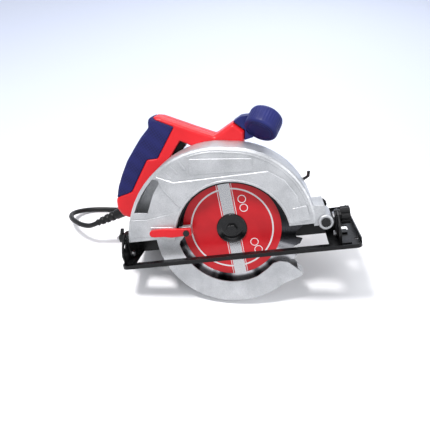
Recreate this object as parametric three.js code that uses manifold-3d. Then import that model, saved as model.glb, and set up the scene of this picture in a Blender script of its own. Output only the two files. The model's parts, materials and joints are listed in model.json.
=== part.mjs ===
// A hand-held circular saw for a 185 mm blade, standing at rest on its lower guard, its base and its motor.
// The saw is modelled in its own working frame: X forward along the cut, Y across from the blade towards the
// motor, Z up from the base, with the origin at the centre of the blade. One rotation then lays it down in its
// rest pose, where +Z is up from the floor. All lengths are in millimetres.
import * as THREE from 'three';
import { mergeVertices } from 'three/addons/utils/BufferGeometryUtils.js';
import Module from 'manifold-3d';

const wasm = await Module();
wasm.setup();

// ---------------------------------------------------------------- driving dimensions
const GAP = 0.3; // clearance between neighbouring pieces

const BLADE = { radius: 92.5, root: 83, half: 0.8, teeth: 24, bore: 8.3 };
const FLANGE = { radius: 20, inner: [1.1, 5], outer: [-4.8, -1.1] };
const SPINDLE = { nose: 8, tail: 6, start: -0.8, shoulder: 28, end: 59.5, threadRadius: 4.3, threadEnd: 18 };

const LOWER = { radius: 100, wall: 1.6, near: -11, far: 9.1, window: 72, hub: 19.9 };
const UPPER = { radius: 109, swell: 28.7, near: -16, wall: 3, far: 35.5, web: [11, 14], rim: 3.6, chamfer: 3.5 };
const ARCH = { x: 1, z: -8, radius: 74 };
const BOSS = { x: 119.6, z: 0.4, radius: 9, far: 25.6, hole: 3.3 };

const MOTOR = { x: -10, z: 22.9, radius: 47, wall: 3.2, start: 61.4, split: 171.7, end: 194, endChamfer: 2 };
const GEARS = { pinionTeeth: 9, gearTeeth: 41, from: 37, to: 46 };
const CASE = { gearRadius: 24.5, motorRadius: 40, wall: 2.6, from: 30.5, floor: 33.5, to: 55.7, neck: 19 };
const PLATE = { from: 56, to: 61, radius: 44 };

const BASE = { rear: -146.5, front: 160, near: -36, far: 118, top: -28.5, thickness: 1.5, rim: 5, lip: 10 };
const SLOT = { rear: -132, front: 121, near: -18, far: 26 };
const BEVEL = { y: 0, z: -22, pin: 3, lockRadius: 24, lockAngle: 90, maxAngle: 45 };
const DEPTH = { lockRadius: 194.6, width: 18, slot: 7, topAngle: 26 };
const CARRIER = { near: 26, web: 2, width: 14, top: -9, bottom: -28.2, flange: 2, rear: -142.2, front: 134, yoke: 62 };

const DEPTH_LOCK = { x: BOSS.x - DEPTH.lockRadius, z: BOSS.z };
const LEVER_SCREW = { x: -56, z: 8 };
const SPINDLE_LOCK = { y: 51, pin: 3.2, head: 4.6, from: 16, shoulder: 32, end: 38.5 };
const SPRING = { turns: 3, radius: 21.3, wire: 0.7, from: 13.5, pitch: 2.6 };

const HANDLE = { near: 36, far: 76, middle: 56, skin: 2.4 };
const TRIGGER = { x: -58, z: 116, half: 9 };
const LOCK_OFF = { x: -43, z: 120, radius: 5 };
// The front knob leans up, forward and away from the blade, with its flat end towards the blade.
const KNOB = { face: new THREE.Vector3(50, 28, 116.5), way: new THREE.Vector3(0.45, 0.61, 0.65), radius: 22.5 };
const FENCE_SCREW = { x: 144, y: 74 };

// The cord leaves the handle's rear corner; its coil and plug lie on the floor, in the row's own frame.
const CORD = { radius: 3.75, exit: new THREE.Vector3(-159, 56, 24), way: new THREE.Vector3(-0.94, 0.1, -0.3) };
const RELIEF = { length: 48, root: 8, tip: 5.2 };
const COIL = { x: -105, y: 118.9, turn: 45, layers: 2, rows: 4, pitch: 7.7 };
const PLUG = { angle: 80, rise: 13.3, body: 13, neck: 5.4, start: 33, shoulder: 47, end: 77, pins: 94 };

const Axis = {
  x: new THREE.Vector3(1, 0, 0),
  y: new THREE.Vector3(0, 1, 0),
  z: new THREE.Vector3(0, 0, 1),
};

// ---------------------------------------------------------------- materials
const COLOURS = {
  aluminium: [0xc4c6c8, 0.45, 0.8],
  steel: [0xb8babc, 0.35, 0.9],
  blackSteel: [0x17181a, 0.45, 0.5],
  bladeRed: [0xc4161c, 0.4, 0.3],
  redPlastic: [0xd8232a, 0.45, 0],
  navyRubber: [0x1c2560, 0.75, 0],
  blackPlastic: [0x141416, 0.55, 0],
  blackRubber: [0x0f0f10, 0.8, 0],
  copper: [0xb0643a, 0.4, 0.9],
  carbon: [0x2a2a2c, 0.9, 0],
};

function paint(name) {
  const [color, roughness, metalness] = COLOURS[name];
  return new THREE.MeshStandardMaterial({ color, roughness, metalness });
}

// ---------------------------------------------------------------- solids
// The sum of signed tetrahedra tells whether a closed mesh faces outwards.
function signedVolume(position, index) {
  const [a, b, c] = [new THREE.Vector3(), new THREE.Vector3(), new THREE.Vector3()];
  let sum = 0;
  for (let i = 0; i < index.length; i += 3) {
    a.fromBufferAttribute(position, index[i]);
    b.fromBufferAttribute(position, index[i + 1]);
    c.fromBufferAttribute(position, index[i + 2]);
    sum += a.dot(b.cross(c)) / 6;
  }
  return sum;
}

// Turns a closed geometry into a solid that can be joined and cut.
function solid(geometry) {
  geometry.deleteAttribute('normal');
  geometry.deleteAttribute('uv');
  const merged = mergeVertices(geometry, 1e-4);
  const all = merged.index.array;
  const kept = [];
  for (let i = 0; i < all.length; i += 3) {
    const [a, b, c] = [all[i], all[i + 1], all[i + 2]];
    if (a !== b && b !== c && c !== a) kept.push(a, b, c);
  }
  if (signedVolume(merged.attributes.position, kept) < 0) kept.reverse();
  return new wasm.Manifold(new wasm.Mesh({
    numProp: 3,
    vertProperties: Float32Array.from(merged.attributes.position.array),
    triVerts: Uint32Array.from(kept),
  }));
}

function join(...solids) {
  return solids.reduce((sum, next) => sum.add(next));
}

function cut(body, ...tools) {
  return tools.reduce((rest, tool) => rest.subtract(tool), body);
}

// ---------------------------------------------------------------- outlines, as lists of [u, v]
function arc(u, v, radius, fromDegrees, toDegrees, steps) {
  return Array.from({ length: steps + 1 }, (_, i) => {
    const angle = THREE.MathUtils.degToRad(fromDegrees + ((toDegrees - fromDegrees) * i) / steps);
    return [u + radius * Math.cos(angle), v + radius * Math.sin(angle)];
  });
}

function circle(u, v, radius, steps = 20) {
  return arc(u, v, radius, 0, 360, steps).slice(0, -1);
}

function rectangle(u0, v0, u1, v1) {
  return [[u0, v0], [u1, v0], [u1, v1], [u0, v1]];
}

function roundedRectangle(u0, v0, u1, v1, r, steps = 4) {
  return [
    ...arc(u1 - r, v1 - r, r, 0, 90, steps),
    ...arc(u0 + r, v1 - r, r, 90, 180, steps),
    ...arc(u0 + r, v0 + r, r, 180, 270, steps),
    ...arc(u1 - r, v0 + r, r, 270, 360, steps),
  ];
}

// A curved band between two radii with half-round ends.
function curvedSlot(u, v, radius, halfWidth, from, to, steps) {
  const [a, b] = [from, to].map(THREE.MathUtils.degToRad);
  const endAt = (angle) => [u + radius * Math.cos(angle), v + radius * Math.sin(angle)];
  const [startU, startV] = endAt(a);
  const [endU, endV] = endAt(b);
  return [
    ...arc(u, v, radius + halfWidth, from, to, steps),
    ...arc(endU, endV, halfWidth, to, to + 180, 6).slice(1, -1),
    ...arc(u, v, radius - halfWidth, to, from, steps),
    ...arc(startU, startV, halfWidth, from + 180, from + 360, 6).slice(1, -1),
  ];
}

// Moves every edge of a counter-clockwise outline inwards.
function shrunk(outline, distance) {
  const normal = ([u0, v0], [u1, v1]) => {
    const length = Math.hypot(u1 - u0, v1 - v0);
    return [(v0 - v1) / length, (u1 - u0) / length];
  };
  return outline.map(([u, v], i) => {
    const before = normal(outline.at(i - 1), outline[i]);
    const after = normal(outline[i], outline[(i + 1) % outline.length]);
    const share = distance / (1 + before[0] * after[0] + before[1] * after[1]);
    return [u + (before[0] + after[0]) * share, v + (before[1] + after[1]) * share];
  });
}

// ---------------------------------------------------------------- shapes from outlines
// A slab across one axis: outlines are (y, z) across x, (x, z) across y and (x, y) across z.
function slab(across, outline, from, to) {
  const shape = new THREE.Shape(outline.map(([u, v]) => new THREE.Vector2(u, v)));
  const geometry = new THREE.ExtrudeGeometry(shape, { depth: to - from, bevelEnabled: false });
  const placed = new THREE.Matrix4();
  if (across === 'x') placed.makeBasis(Axis.y, Axis.z, Axis.x).setPosition(from, 0, 0);
  if (across === 'y') placed.makeBasis(Axis.x, Axis.z, Axis.y.clone().negate()).setPosition(0, to, 0);
  if (across === 'z') placed.setPosition(0, 0, from);
  return solid(geometry.applyMatrix4(placed));
}

// A body whose outline changes along y: each ring is an outline with the same number of points, and its y.
function lofted(rings) {
  const count = rings[0][0].length;
  const positions = rings.flatMap(([outline, y]) => outline.flatMap(([x, z]) => [x, y, z]));
  const cap = THREE.ShapeUtils.triangulateShape(rings[0][0].map(([x, z]) => new THREE.Vector2(x, z)), []);
  const last = (rings.length - 1) * count;
  const faces = cap.flatMap(([a, b, c]) => [a, b, c, last + a, last + c, last + b]);
  for (let level = 0; level < last; level += count) {
    for (let i = 0; i < count; i += 1) {
      const [a, b] = [level + i, level + ((i + 1) % count)];
      faces.push(a, b + count, b, a, a + count, b + count);
    }
  }
  const geometry = new THREE.BufferGeometry();
  geometry.setAttribute('position', new THREE.Float32BufferAttribute(positions, 3));
  geometry.setIndex(faces);
  return solid(geometry);
}

// A turned shape about the y direction through (x, z), from a closed profile of [radius, y].
function turned(profile, x = 0, z = 0, steps = 24) {
  const points = [...profile, profile[0]].map(([r, y]) => new THREE.Vector2(r, y));
  return solid(new THREE.LatheGeometry(points, steps).translate(x, 0, z));
}

function ring(inner, outer, from, to, x = 0, z = 0, steps = 20) {
  return turned([[inner, from], [outer, from], [outer, to], [inner, to]], x, z, steps);
}

function rod(radius, from, to, x = 0, z = 0, steps = 14) {
  return turned([[0, from], [radius, from], [radius, to], [0, to]], x, z, steps);
}

// A tube of round section along a smooth curve through the points.
function tube(points, radius, sides, steps) {
  const section = new THREE.Shape(circle(0, 0, radius, sides).map(([u, v]) => new THREE.Vector2(u, v)));
  const path = new THREE.CatmullRomCurve3(points);
  return solid(new THREE.ExtrudeGeometry(section, { steps, extrudePath: path, bevelEnabled: false }));
}

function box(x0, y0, z0, x1, y1, z1) {
  const geometry = new THREE.BoxGeometry(x1 - x0, y1 - y0, z1 - z0);
  return solid(geometry.translate((x0 + x1) / 2, (y0 + y1) / 2, (z0 + z1) / 2));
}

// Turns a piece made along y so that it runs along the given direction from the given point.
function aimed(body, direction, point) {
  const turn = new THREE.Quaternion().setFromUnitVectors(Axis.y, direction.clone().normalize());
  const placed = new THREE.Matrix4().compose(point, turn, new THREE.Vector3(1, 1, 1));
  return body.transform(placed.toArray());
}

// ---------------------------------------------------------------- the scene graph
const saw = new THREE.Group();
const cords = new THREE.Group();

function addTo(group, name, body, colour) {
  const { vertProperties, triVerts } = body.getMesh();
  const geometry = new THREE.BufferGeometry();
  geometry.setAttribute('position', new THREE.BufferAttribute(Float32Array.from(vertProperties), 3));
  geometry.setIndex(new THREE.BufferAttribute(Uint32Array.from(triVerts), 1));
  geometry.computeVertexNormals();
  const mesh = new THREE.Mesh(geometry, paint(colour));
  mesh.name = name;
  group.add(mesh);
  return mesh;
}

const add = (name, body, colour) => addTo(saw, name, body, colour);

// ---------------------------------------------------------------- blade and spindle
function bladeOutline() {
  const pitch = 360 / BLADE.teeth;
  // Each tooth: the back rises to the tip, then the face drops steeply into the gullet.
  const tooth = [[-8.6, 84.5], [-4.5, 91], [0, BLADE.radius], [0.5, 84.5], [2.4, BLADE.root - 0.5]];
  return Array.from({ length: BLADE.teeth }, (_, i) => i * pitch).flatMap((turn) =>
    tooth.map(([degrees, radius]) => {
      const angle = THREE.MathUtils.degToRad(turn + degrees);
      return [radius * Math.cos(angle), radius * Math.sin(angle)];
    }));
}

function makeBlade() {
  const body = slab('y', bladeOutline(), -BLADE.half, BLADE.half);
  return cut(body, rod(BLADE.bore, -2, 2, 0, 0, 32));
}

function makeOuterFlange() {
  const [near, far] = FLANGE.outer;
  const r = FLANGE.radius;
  return turned([[4.4, far], [r, far], [r, far - 1.2], [r - 3, near + 0.4], [r - 8, near], [4.4, near]]);
}

function makeBladeBolt() {
  const head = slab('y', circle(0, 0, 7.5, 6), -10.4, FLANGE.outer[0] - GAP);
  return join(head, rod(4, -6, 12, 0, 0, 20));
}

function makeSpindle() {
  const { nose, tail, start, shoulder, end, threadRadius, threadEnd } = SPINDLE;
  return turned([
    [threadRadius, start], [nose, start], [nose, shoulder], [tail, shoulder], [tail, end], [0, end],
    [0, threadEnd], [threadRadius, threadEnd],
  ]);
}

// A spur gear with straight-sided teeth, slim enough to run with backlash.
function gearOutline(x, z, teeth, module, phaseDegrees) {
  const pitchRadius = (module * teeth) / 2;
  const [tip, root] = [pitchRadius + 0.75 * module, pitchRadius - module];
  const pitch = 360 / teeth;
  const profile = [[-0.3, root], [-0.12, tip], [0.12, tip], [0.3, root]];
  return Array.from({ length: teeth }, (_, i) => i * pitch + phaseDegrees).flatMap((turn) =>
    profile.map(([share, radius]) => {
      const angle = THREE.MathUtils.degToRad(turn + share * pitch);
      return [x + radius * Math.cos(angle), z + radius * Math.sin(angle)];
    }));
}

const gearDistance = Math.hypot(MOTOR.x, MOTOR.z);
const gearModule = (2 * gearDistance) / (GEARS.pinionTeeth + GEARS.gearTeeth);
const meshDirection = THREE.MathUtils.radToDeg(Math.atan2(MOTOR.z, MOTOR.x));

function makeOutputGear() {
  const body = slab('y', gearOutline(0, 0, GEARS.gearTeeth, gearModule, meshDirection), GEARS.from, GEARS.to);
  return cut(body, rod(SPINDLE.tail + GAP, GEARS.from - 1, GEARS.to + 1));
}

function makeBladeSet() {
  const { nose, shoulder } = SPINDLE;
  add('saw_blade', makeBlade(), 'bladeRed');
  add('inner_flange', ring(nose + GAP, FLANGE.radius - 2, ...FLANGE.inner), 'blackSteel');
  add('outer_flange', makeOuterFlange(), 'blackSteel');
  add('blade_bolt', makeBladeBolt(), 'blackSteel');
  add('spindle', makeSpindle(), 'steel');
  add('output_gear', makeOutputGear(), 'steel');
  add('spindle_bearing', ring(nose + GAP, 15.7, 15, shoulder - 2), 'steel');
}

// ---------------------------------------------------------------- lower guard
// The guard covers the lower half of the blade and ends at the front in a flared lip.
function lowerGuardOutline(radius) {
  const lip = arc(0, 0, radius + 10, 319, 321, 1);
  const frontEdge = arc(0, 0, radius - 22, 329, 333, 1);
  return [...arc(0, 0, radius, 176, 306, 22), ...lip, ...frontEdge, [20, -12], [-20, 3]];
}

function lowerGuardNearWindow() {
  const lipEdge = [[40, -58], [48, -51], [57, -48.5], [67, -51], [77, -60], [90, -72]];
  return [...arc(0, 0, LOWER.window, 190, 291, 18), ...lipEdge, [120, -60], [120, 66], [-60, 66], [-60, 16]];
}

function makeLowerGuard() {
  const { near, far, wall, hub, radius } = LOWER;
  const outer = slab('y', lowerGuardOutline(radius), near, far);
  const inside = slab('y', lowerGuardOutline(radius - 2.4), near + wall, far - wall);
  const mouth = [[-97.6, 1], [-20, -3], [20, -17], [60, -38], [77.5, -60], [120, -60], [120, 40], [-97.6, 40]];
  const top = slab('y', mouth, near + wall, far - wall);
  const shell = cut(outer, inside, top, slab('y', lowerGuardNearWindow(), near - 1, near + wall + 0.1));
  const hubPlate = ring(hub, 30, far - wall, far + 1.5);
  const lug = slab('y', rectangle(-62, 3, -50, 14), -18.5, near + wall);
  const lugRoot = slab('y', [[-90, -6], [-67, -6], [-59, 3], [-59, 14], [-90, 7]], near, near + wall);
  const body = join(cut(shell, rod(hub, 0, 20)), hubPlate, lug, lugRoot);
  return cut(body, rod(2.6, -20, -12, LEVER_SCREW.x, LEVER_SCREW.z, 16));
}

function makeGuardLever() {
  const tip = arc(-100, 11, 4.6, 80, 260, 5);
  const outline = [[-50, 4], [-50, 13], [-66, 14], [-86, 16], ...tip, [-84, 5.2], [-76, 3.4]];
  return cut(slab('y', outline, -24.5, -18.8), rod(2.6, -26, -18, LEVER_SCREW.x, LEVER_SCREW.z, 16));
}

function makeLowerGuardSet() {
  add('lower_guard', makeLowerGuard(), 'aluminium');
  add('guard_lever', makeGuardLever(), 'redPlastic');
  const { x, z } = LEVER_SCREW;
  add('lever_screw', join(rod(4, -27, -24.8, x, z, 20), rod(2.2, -25, -13, x, z, 16)), 'blackSteel');
}

// A torsion spring around the neck of the gear case turns the lower guard back down.
function makeReturnSpring() {
  const { turns, radius, wire, from, pitch } = SPRING;
  const perTurn = 12;
  const points = Array.from({ length: turns * perTurn + 1 }, (_, i) => {
    const angle = (i / perTurn) * 2 * Math.PI;
    return new THREE.Vector3(radius * Math.cos(angle), from + (pitch * i) / perTurn, radius * Math.sin(angle));
  });
  return tube(points, wire, 6, turns * perTurn);
}

// ---------------------------------------------------------------- upper guard
// The outline is round over the front and swells towards the rear, where the chips leave.
function upperOutline(inset) {
  const front = arc(0, 0, UPPER.radius - inset, 0, 85, 14);
  const rear = Array.from({ length: 16 }, (_, i) => {
    const degrees = 90 + (90 * i) / 15;
    const radius = UPPER.radius + (UPPER.swell * (degrees - 85)) / 95 - inset;
    const angle = THREE.MathUtils.degToRad(degrees);
    return [radius * Math.cos(angle), radius * Math.sin(angle)];
  });
  return [...front, ...rear];
}

// The chip window follows the rear edge of the guard.
function chipWindow() {
  const edge = upperOutline(UPPER.rim + 1).filter(([x, z]) => z > 37 && x < -87);
  return [[-92, 61], [-104, 37], ...edge.reverse(), [-79, 78]];
}

// The near edge is rounded.
function roundedUpper() {
  const { near, far, chamfer } = UPPER;
  return lofted([
    [upperOutline(chamfer), near],
    [upperOutline(chamfer * 0.3), near + chamfer * 0.3],
    [upperOutline(0), near + chamfer],
    [upperOutline(0), far],
  ]);
}

const CASE_SCREWS = [40, 140, 200].map((degrees) => {
  const angle = THREE.MathUtils.degToRad(degrees);
  return [MOTOR.x + 46 * Math.cos(angle), MOTOR.z + 46 * Math.sin(angle)];
});

function makeUpperGuard() {
  const { near, wall, far, web, rim } = UPPER;
  const chamber = slab('y', upperOutline(rim), near + wall, web[0]);
  const pocket = slab('y', upperOutline(rim), web[1], far + 1);
  const openBottom = box(-150, near + wall, -1, UPPER.radius - rim, web[0], 1);
  const arch = slab('y', circle(ARCH.x, ARCH.z, ARCH.radius, 40), near - 1, near + wall + 0.1);
  const window = slab('y', chipWindow(), near - 1, near + wall + 0.1);
  const caseHole = rod(23, web[0] - 1, web[1] + 1, 0, 0, 32);
  const shell = cut(roundedUpper(), chamber, pocket, openBottom, arch, window, caseHole);
  const screwPosts = CASE_SCREWS.map(([x, z]) => rod(6, web[1] - 1, CASE.from - GAP, x, z, 20));
  const lockPost = rod(7, web[1] - 1, 28.6, DEPTH_LOCK.x, DEPTH_LOCK.z, 20);
  const boss = join(rod(BOSS.radius, near, BOSS.far, BOSS.x, BOSS.z, 28),
    box(UPPER.radius - 4, near + 1, BOSS.z - 4, BOSS.x, BOSS.far, BOSS.z + 22));
  const inside = box(0, near + wall, -30, UPPER.radius - rim - 1, far + 1, 60);
  const drills = CASE_SCREWS.map(([x, z]) => rod(2.5, 16, far, x, z, 14));
  const body = join(shell, cut(boss, inside), ...screwPosts, lockPost);
  return cut(body, ...drills, rod(BOSS.hole, near - 1, BOSS.far + 1, BOSS.x, BOSS.z, 20),
    rod(3.3, 16, 30, DEPTH_LOCK.x, DEPTH_LOCK.z, 16));
}

// ---------------------------------------------------------------- gear case and bearing plate
// A round end over the gear blends into the larger round of the motor.
function caseOutline(gearRadius, motorRadius) {
  const spread = THREE.MathUtils.radToDeg(Math.acos((gearRadius - motorRadius) / gearDistance));
  return [
    ...arc(MOTOR.x, MOTOR.z, motorRadius, meshDirection - spread, meshDirection + spread, 16),
    ...arc(0, 0, gearRadius, meshDirection + spread, meshDirection + 360 - spread, 10),
  ];
}

function makeGearCase() {
  const { gearRadius, motorRadius, wall, from, floor, to, neck } = CASE;
  const ears = CASE_SCREWS.map(([x, z]) => rod(7, from, from + 4, x, z, 20));
  const shell = join(slab('y', caseOutline(gearRadius, motorRadius), from, to), rod(neck, 6, from + 1), ...ears);
  const cavity = slab('y', caseOutline(gearRadius - wall, motorRadius - wall), floor, to + 1);
  const seats = join(rod(16.3, 14, floor + 1, 0, 0, 20), rod(SPINDLE.nose + 1.5, 5, 15));
  const { pin, y } = SPINDLE_LOCK;
  const lockHole = aimed(rod(pin + GAP, 15, 32, 0, 0, 16), Axis.x, new THREE.Vector3(0, y, 0));
  const holes = CASE_SCREWS.map(([x, z]) => rod(2.5, from - 1, from + 5, x, z, 14));
  return cut(shell, cavity, seats, lockHole, ...holes);
}

function makeBearingPlate() {
  const body = slab('y', caseOutline(CASE.gearRadius, PLATE.radius), PLATE.from, PLATE.to);
  return cut(body,
    rod(11.3, PLATE.from - 1, PLATE.to + 1, MOTOR.x, MOTOR.z),
    rod(SPINDLE.tail + GAP, PLATE.from - 1, PLATE.to - 1));
}

function makeGearCaseSet() {
  add('gear_case', makeGearCase(), 'aluminium');
  add('bearing_plate', makeBearingPlate(), 'aluminium');
  CASE_SCREWS.forEach(([x, z], i) => {
    const head = rod(4.4, CASE.from + 4.3, CASE.from + 7.5, x, z, 20);
    add(`case_screw_${i + 1}`, join(head, rod(2.2, 20, CASE.from + 5, x, z, 14)), 'blackSteel');
  });
}

// ---------------------------------------------------------------- motor
function motorRod(radius, from, to, steps = 16) {
  return rod(radius, from, to, MOTOR.x, MOTOR.z, steps);
}

function motorRing(inner, outer, from, to, steps = 20) {
  return ring(inner, outer, from, to, MOTOR.x, MOTOR.z, steps);
}

// A short cylinder along x, through the motor wall on the given side.
function sideRod(radius, from, to, side, y = 150, steps = 18) {
  return aimed(rod(radius, from, to, 0, 0, steps), Axis.x.clone().multiplyScalar(side),
    new THREE.Vector3(MOTOR.x, y, MOTOR.z));
}

function makeMotorHousing() {
  const { radius, wall, start, split } = MOTOR;
  const shell = motorRing(radius - wall, radius, start, split, 32);
  return cut(shell, sideRod(7.3, 30, 60, 1), sideRod(7.3, 30, 60, -1));
}

function makeEndCap() {
  const { x, z, radius, wall, split, end, endChamfer } = MOTOR;
  const [start, inner] = [split + GAP, radius - wall];
  const cup = turned([
    [0, end], [0, end - wall], [11.3, end - wall], [11.3, start + 3], [14, start + 3], [14, end - wall],
    [inner, end - wall], [inner, start], [radius, start], [radius, end - endChamfer], [radius - endChamfer, end],
  ], x, z, 32);
  const vents = Array.from({ length: 8 }, (_, i) => {
    const slot = box(20, end - wall - 1, -2.6, 37, end + 1, 2.6);
    return slot.rotate([0, i * 45 + 22.5, 0]).translate([x, 0, z]);
  });
  return cut(cup, ...vents);
}

function makeArmatureShaft() {
  const pinion = slab('y', gearOutline(MOTOR.x, MOTOR.z, GEARS.pinionTeeth, gearModule, meshDirection),
    GEARS.from - 0.5, GEARS.to + 3);
  return join(pinion, motorRod(4, GEARS.to + 2, 187));
}

function makeFan() {
  const hub = motorRing(4.3, 36, 64, 66);
  const blades = Array.from({ length: 12 }, (_, i) =>
    box(16, 65.5, -0.9, 35, 76, 0.9).rotate([0, i * 30, 0]).translate([MOTOR.x, 0, MOTOR.z]));
  return join(hub, ...blades);
}

function makeBrush(side) {
  const half = 4;
  const from = MOTOR.x + side * 13.6;
  const to = MOTOR.x + side * 34;
  return box(Math.min(from, to), 146, MOTOR.z - half, Math.max(from, to), 154, MOTOR.z + half);
}

function makeMotorSet() {
  add('motor_housing', makeMotorHousing(), 'redPlastic');
  add('motor_end_cap', makeEndCap(), 'redPlastic');
  add('stator', motorRing(26.5, MOTOR.radius - MOTOR.wall - GAP, 84, 132), 'steel');
  add('armature_shaft', makeArmatureShaft(), 'steel');
  add('armature_core', motorRing(4.3, 25.5, 84, 132), 'copper');
  add('commutator', motorRing(4.3, 13, 142, 158), 'copper');
  add('cooling_fan', makeFan(), 'blackPlastic');
  add('armature_bearing_front', motorRing(4.3, 11, PLATE.from + 0.3, PLATE.to - 0.3), 'steel');
  add('armature_bearing_rear', motorRing(4.3, 11, 178, 186), 'steel');
  [['front', 1], ['rear', -1]].forEach(([side, sign]) => {
    add(`carbon_brush_${side}`, makeBrush(sign), 'carbon');
    add(`brush_cap_${side}`, sideRod(7, 43.8, 48.2, sign), 'blackPlastic');
  });
}


// ---------------------------------------------------------------- handle
// Outlines in the (x, z) plane of the handle.
const HANDLE_OUTLINE = [
  [-30, 60], [-48, 34], [-62, 21], [-68, 17], [-147, 17], [-157, 22], [-163, 33], [-162, 45], [-155, 65],
  [-146, 82], [-136, 98], [-122, 114.5], [-111, 127], [-97.5, 139], ...arc(-89, 145, 8, 170, 80, 3), [-78, 151],
  [-60, 142], [-34, 129], [-10, 117.5], [16, 131], [30, 118], [28, 104], [18, 78], [0, 66],
].reverse();
const HANDLE_OPENING = [[-57, 117], [-70, 101], [-108, 49], [-104, 43], [-74, 43], [-42, 82], [-38, 105]];
const GRIP_REGION = [
  [-61.6, 136], [-86, 149], [-92, 158], [-110, 160], [-190, 90], [-190, 48], [-166, 48], [-136, 55], [-106, 97],
  [-91, 97],
];

// The trigger is laid out along the grip: u runs down its inner edge, v out into the opening.
function alongGrip(outline) {
  return outline.map(([u, v]) => [TRIGGER.x - 0.6 * u + 0.8 * v, TRIGGER.z - 0.8 * u - 0.6 * v]);
}

// The handle without its opening, with rounded edges, and made smaller all over by the given depth.
function handleBody(depth = 0) {
  const rounds = [[3.5, 0], [1.1, 2.4], [0, 7]];
  const rings = [
    ...rounds.map(([inset, along]) => [inset, HANDLE.near + depth + along]),
    ...rounds.reverse().map(([inset, along]) => [inset, HANDLE.far - depth - along]),
  ];
  return lofted(rings.map(([inset, y]) => [shrunk(HANDLE_OUTLINE, inset + depth), y]));
}

function handleSolid() {
  const { near, far } = HANDLE;
  return cut(handleBody(),
    slab('y', HANDLE_OPENING, near - 1, far + 1),
    rod(MOTOR.radius + 0.5, near - 1, far + 1, MOTOR.x, MOTOR.z, 44),
    rod(52, near - 1, near + 3, MOTOR.x, MOTOR.z, 44));
}

function makeGripCover() {
  const { near, far, skin } = HANDLE;
  const region = slab('y', GRIP_REGION, near - 1, far + 1);
  return cut(handleSolid().intersect(region), handleBody(skin));
}

function makeHandleShells() {
  const { near, far, middle, skin } = HANDLE;
  const region = slab('y', GRIP_REGION, near - 1, far + 1);
  const whole = handleSolid();
  const grown = join(region, region.translate([0.25, 0, -0.25]));
  const body = join(cut(whole, grown), whole.intersect(handleBody(skin + GAP)));
  const { half } = TRIGGER;
  const pockets = [
    slab('y', alongGrip(rectangle(-0.6, -22, 24.6, 14)), middle - half - GAP, middle + half + GAP),
    slab('y', alongGrip(rectangle(-3, -37, 27, -21)), middle - 12, middle + 12),
    rod(LOCK_OFF.radius + GAP, middle - 1, far + 1, LOCK_OFF.x, LOCK_OFF.z, 20),
    aimed(rod(RELIEF.root + GAP, -7, 20), CORD.way, CORD.exit),
  ];
  const hollow = cut(body, ...pockets);
  const nearSide = box(-200, 0, -50, 100, middle - GAP / 2, 200);
  const farSide = box(-200, middle + GAP / 2, -50, 100, 100, 200);
  return [hollow.intersect(nearSide), hollow.intersect(farSide)];
}

function makeTrigger() {
  const outline = [[0, -15], [24, -15], [24, 2], [17, 6], [8, 9], [2, 9], [0, 6]];
  return slab('y', alongGrip(outline), HANDLE.middle - TRIGGER.half, HANDLE.middle + TRIGGER.half);
}

function knobProfile(grow) {
  const r = KNOB.radius + grow;
  return [
    [0, -grow], [r - 3, -grow], [r - 0.8, 0.9 - grow], [r, 4], [r, 15], [r - 1.5, 20], [r - 6, 25],
    [r - 13, 27.5 + grow], [0, 28 + grow],
  ];
}

function makeKnob(grow = 0) {
  return aimed(turned(knobProfile(grow), 0, 0, 26), KNOB.way, KNOB.face);
}

// The sleeve between the handle's front stem and the knob.
function makeKnobNeck() {
  const outline = [[17, 132], [31, 118.8], [28.6, 106], [40, 108], [52, 124], [42, 137], [27, 137]];
  const stem = slab('y', HANDLE_OUTLINE.slice(0, 6), HANDLE.near - 1, HANDLE.far + 1);
  return cut(slab('y', outline, HANDLE.middle - 15, HANDLE.middle + 12), makeKnob(GAP), stem);
}

function makeHandleSet() {
  const [nearShell, farShell] = makeHandleShells();
  const { middle } = HANDLE;
  add('handle_shell_near', nearShell, 'redPlastic');
  add('handle_shell_far', farShell, 'redPlastic');
  add('grip_cover', makeGripCover(), 'navyRubber');
  add('trigger', makeTrigger(), 'blackPlastic');
  add('switch_body', slab('y', alongGrip(rectangle(-2, -36, 26, -22.2)), middle - 11, middle + 11), 'blackPlastic');
  add('lock_off_button', rod(LOCK_OFF.radius, middle + 10, HANDLE.far + 3, LOCK_OFF.x, LOCK_OFF.z), 'blackPlastic');
  add('front_knob', makeKnob(), 'navyRubber');
  add('knob_neck', makeKnobNeck(), 'navyRubber');
  const { y, pin, head, from, shoulder, end } = SPINDLE_LOCK;
  const button = turned([[0, from], [pin, from], [pin, shoulder], [head, shoulder], [head, end], [0, end]], 0, 0, 24);
  add('spindle_lock_button', aimed(button, Axis.x, new THREE.Vector3(0, y, 0)), 'redPlastic');
}

// ---------------------------------------------------------------- base, brackets and depth carrier
function baseOutline(inset) {
  const { rear, front, near, far } = BASE;
  return roundedRectangle(rear + inset, near + inset, front - inset, far - inset, 8 - inset);
}

function makeBasePlate() {
  const { top, thickness, rim, lip, front, near, far } = BASE;
  const bottom = top - thickness;
  const tray = cut(slab('z', baseOutline(0), bottom, bottom + rim),
    slab('z', baseOutline(thickness), top, bottom + rim + 1));
  const frontLip = box(front - thickness, near + 9, bottom + rim - 1, front, far - 9, bottom + lip);
  const openings = [
    box(SLOT.rear, SLOT.near, bottom - 1, SLOT.front, SLOT.far, top + 1),
    slab('z', roundedRectangle(132, 27, 151, 44, 2), bottom - 1, top + 1),
    box(front - 6, -9, bottom - 1, front + 1, -5, bottom + lip + 1),
    ...[56, 96].map((y) => slab('z', roundedRectangle(-110, y, 100, y + 10, 4.9), bottom - 1, top + 1)),
  ];
  return cut(join(tray, frontLip), ...openings);
}

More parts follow.
